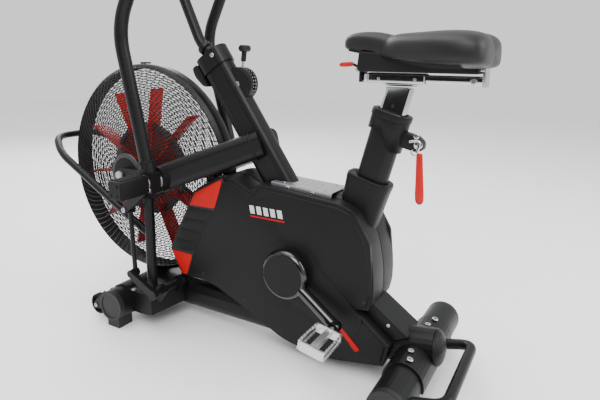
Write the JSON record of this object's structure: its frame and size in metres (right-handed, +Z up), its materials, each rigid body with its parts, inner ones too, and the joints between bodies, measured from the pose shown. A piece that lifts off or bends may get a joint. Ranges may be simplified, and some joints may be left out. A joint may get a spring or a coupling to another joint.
{
  "type": "exercise bike",
  "caption": "Fan-resistance exercise bike with swinging arms, caged fan, shrouded drive, adjustable saddle, transport wheels and end-capped stabilizer tubes",
  "frame": {"origin": "centre of the footprint of the bounding box, on the floor", "axes": "+X forward towards the fan, +Y to the rider's left, +Z up"},
  "size_m": [1.273, 0.572, 1.2434],
  "materials": {
    "black_paint": "satin",
    "black_plastic": "matt, lightly textured",
    "gloss_black": "gloss",
    "rubber": "matt",
    "grey_plastic": "matt",
    "red": "satin",
    "red_grip": "satin",
    "chrome": "polished",
    "aluminium": "brushed",
    "steel": "brushed",
    "vinyl": "smooth vinyl"
  },
  "bodies": {
    "frame": {"main_beam": "black_paint", "mast": "black_paint", "seat_tube": "black_paint", "left_side_frame": "black_paint", "right_side_frame": "black_paint", "front_bracket": "black_paint", "front_stabilizer": "black_paint", "rear_stabilizer": "black_paint", "rear_saddle": "black_paint", "front_bumper": "black_paint", "rear_handle": "black_paint", "left_cage": "black_paint", "right_cage": "black_paint", "console_stem": "black_paint", "beam_end_cap": "black_plastic", "seat_tube_boot": "black_plastic", "seat_clamp": "black_plastic", "shroud_left": "black_plastic", "shroud_right": "black_plastic", "left_hub_cover": "black_plastic", "right_hub_cover": "black_plastic", "console": "black_plastic", "shifter_housing": "black_plastic", "front_left_end_cap": "grey_plastic", "front_right_end_cap": "grey_plastic", "rear_left_end_cap": "grey_plastic", "rear_right_end_cap": "grey_plastic", "drive_belt": "rubber", "left_foot_peg": "rubber", "right_foot_peg": "rubber", "step_plate": "aluminium"},
    "crank": {"crank_axle": "steel", "crank_pulley": "aluminium", "left_crank": "gloss_black", "right_crank": "gloss_black"},
    "fan_wheel": {"fan": "red", "fan_axle": "steel"},
    "left_pedal_body": {"left_pedal": "aluminium"},
    "right_pedal_body": {"right_pedal": "aluminium"},
    "left_arm_body": {"left_arm": "black_paint", "left_grip": "rubber", "left_arm_hub": "black_paint"},
    "right_arm_body": {"right_arm": "black_paint", "right_grip": "rubber", "right_arm_hub": "black_paint"},
    "left_link_body": {"left_link": "black_paint"},
    "right_link_body": {"right_link": "black_paint"},
    "left_rocker_body": {"left_rocker": "steel"},
    "right_rocker_body": {"right_rocker": "steel"},
    "left_drag_body": {"left_drag_link": "steel"},
    "right_drag_body": {"right_drag_link": "steel"},
    "left_wheel_body": {"left_transport_wheel": "rubber"},
    "right_wheel_body": {"right_transport_wheel": "rubber"},
    "post_body": {"seat_post": "chrome"},
    "saddle_body": {"saddle_rail": "chrome", "saddle": "vinyl"},
    "saddle_lever_body": {"saddle_lever": "red_grip"},
    "cam_lever_body": {"seat_cam_lever": "red_grip"},
    "shift_lever_body": {"shift_lever": "black_plastic"}
  },
  "joints": [
    {"name": "crank_spin", "type": "hinge", "parent": "frame", "child": "crank", "pos_m": [-0.21593, 0, 0.23], "axis": [0, 1, 0], "continuous": true},
    {"name": "fan_spin", "type": "hinge", "parent": "frame", "child": "fan_wheel", "pos_m": [0.30507, 0, 0.411], "axis": [0, 1, 0], "continuous": true},
    {"name": "left_pedal_spin", "type": "hinge", "parent": "crank", "child": "left_pedal_body", "pos_m": [-0.35586, 0.185, 0.14256], "axis": [0, 1, 0], "continuous": true},
    {"name": "left_drag_spin", "type": "hinge", "parent": "crank", "child": "left_drag_body", "pos_m": [-0.20893, 0.054, 0.253], "axis": [0, 1, 0], "continuous": true},
    {"name": "right_pedal_spin", "type": "hinge", "parent": "crank", "child": "right_pedal_body", "pos_m": [-0.076, -0.185, 0.31744], "axis": [0, 1, 0], "continuous": true},
    {"name": "right_drag_spin", "type": "hinge", "parent": "crank", "child": "right_drag_body", "pos_m": [-0.22293, -0.054, 0.207], "axis": [0, 1, 0], "continuous": true},
    {"name": "left_arm_swing", "type": "hinge", "parent": "frame", "child": "left_arm_body", "pos_m": [0.13007, 0.176, 0.427], "axis": [0, 1, 0], "range_deg": [-12.2, 17.8]},
    {"name": "right_arm_swing", "type": "hinge", "parent": "frame", "child": "right_arm_body", "pos_m": [0.13007, -0.176, 0.427], "axis": [0, 1, 0], "range_deg": [-17.8, 12.2]},
    {"name": "left_link_swing", "type": "hinge", "parent": "left_arm_body", "child": "left_link_body", "pos_m": [0.23012, 0.153, 0.33786], "axis": [0, 1, 0], "range_deg": [-32.24, 22.26]},
    {"name": "left_rocker_swing", "type": "hinge", "parent": "frame", "child": "left_rocker_body", "pos_m": [0.14407, 0.11, 0.118], "axis": [0, 1, 0], "range_deg": [-14.84, 21.43]},
    {"name": "left_transport_spin", "type": "hinge", "parent": "frame", "child": "left_wheel_body", "pos_m": [0.35307, 0.168, 0.042], "axis": [0, 1, 0], "continuous": true},
    {"name": "right_link_swing", "type": "hinge", "parent": "right_arm_body", "child": "right_link_body", "pos_m": [0.22094, -0.153, 0.32852], "axis": [0, 1, 0], "range_deg": [-22.61, 32.77]},
    {"name": "right_rocker_swing", "type": "hinge", "parent": "frame", "child": "right_rocker_body", "pos_m": [0.14407, -0.11, 0.118], "axis": [0, 1, 0], "range_deg": [-23.42, 16.21]},
    {"name": "right_transport_spin", "type": "hinge", "parent": "frame", "child": "right_wheel_body", "pos_m": [0.35307, -0.168, 0.042], "axis": [0, 1, 0], "continuous": true},
    {"name": "seat_height", "type": "slide", "parent": "frame", "child": "post_body", "axis": [-0.261, 0, 0.9653], "range_m": [-0.04, 0.12]},
    {"name": "saddle_fore_aft", "type": "slide", "parent": "post_body", "child": "saddle_body", "axis": [1, 0, 0], "range_m": [-0.008, 0.08]},
    {"name": "saddle_lever_turn", "type": "hinge", "parent": "saddle_body", "child": "saddle_lever_body", "pos_m": [-0.34793, 0, 0.711], "axis": [0, 1, 0], "range_deg": [0, 20]},
    {"name": "cam_lever_turn", "type": "hinge", "parent": "frame", "child": "cam_lever_body", "pos_m": [-0.49393, 0.02, 0.555], "axis": [0, 1, 0], "range_deg": [0, 110]},
    {"name": "shift_turn", "type": "hinge", "parent": "frame", "child": "shift_lever_body", "pos_m": [-0.02393, 0, 0.668], "axis": [0, 1, 0], "range_deg": [-70, 14]}
  ],
  "couplings": [
    {"joint": "fan_spin", "follows": "crank_spin", "ratio": 2.8873},
    {"joint": "left_drag_spin", "follows": "crank_spin", "ratio": -1},
    {"joint": "right_drag_spin", "follows": "crank_spin", "ratio": -1},
    {"joint": "right_arm_swing", "follows": "left_arm_swing", "ratio": -1},
    {"joint": "left_link_swing", "follows": "left_arm_swing", "ratio": -1.7832},
    {"joint": "left_rocker_swing", "follows": "left_arm_swing", "ratio": 1.1756},
    {"joint": "right_link_swing", "follows": "left_arm_swing", "ratio": 1.8127},
    {"joint": "right_rocker_swing", "follows": "left_arm_swing", "ratio": -1.2874}
  ]
}
